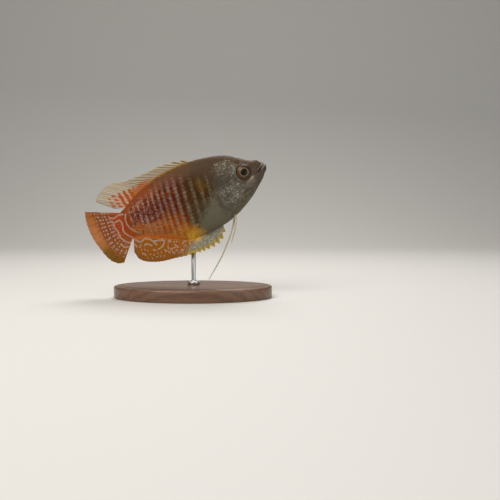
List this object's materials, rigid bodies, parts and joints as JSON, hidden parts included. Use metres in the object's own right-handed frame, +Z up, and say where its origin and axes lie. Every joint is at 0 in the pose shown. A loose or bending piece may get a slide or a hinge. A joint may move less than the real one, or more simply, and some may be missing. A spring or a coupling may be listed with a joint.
{
  "type": "display fish model",
  "caption": "Life-size dwarf gourami, head up and fins spread with two long feelers below, held over an oval base by a thin rod.",
  "frame": {"origin": "middle of the stand's flat underside, where it rests", "axes": "+Z up, +X the way the fish faces, +Y to the fish's left; the fish is pitched 22.5 degrees head up"},
  "size_m": [0.0781, 0.038, 0.0591],
  "materials": {
    "head_skin": "fine scaled skin",
    "cheek_skin": "smooth silvery skin",
    "flank_skin": "scaled skin",
    "stalk_skin": "scaled skin",
    "eye": "wet gloss",
    "dorsal": "thin fin skin",
    "anal": "thin fin skin",
    "tail": "thin fin skin",
    "clear_fin": "thin clear fin skin",
    "feeler": "smooth",
    "base_wood": "satin",
    "rod_steel": "satin"
  },
  "bodies": {
    "root": {"head": "head_skin", "lower_jaw": "head_skin", "gill_cover_left": "cheek_skin", "gill_cover_right": "cheek_skin", "eye_left": "eye", "eye_right": "eye", "torso": "flank_skin", "tail_stalk": "stalk_skin", "dorsal_fin": "dorsal", "anal_fin": "anal", "tail_fin": "tail", "pectoral_fin_left": "clear_fin", "pectoral_fin_right": "clear_fin", "feeler_left": "feeler", "feeler_right": "feeler", "stand_base": "base_wood", "stand_rod": "rod_steel"}
  },
  "joints": []
}
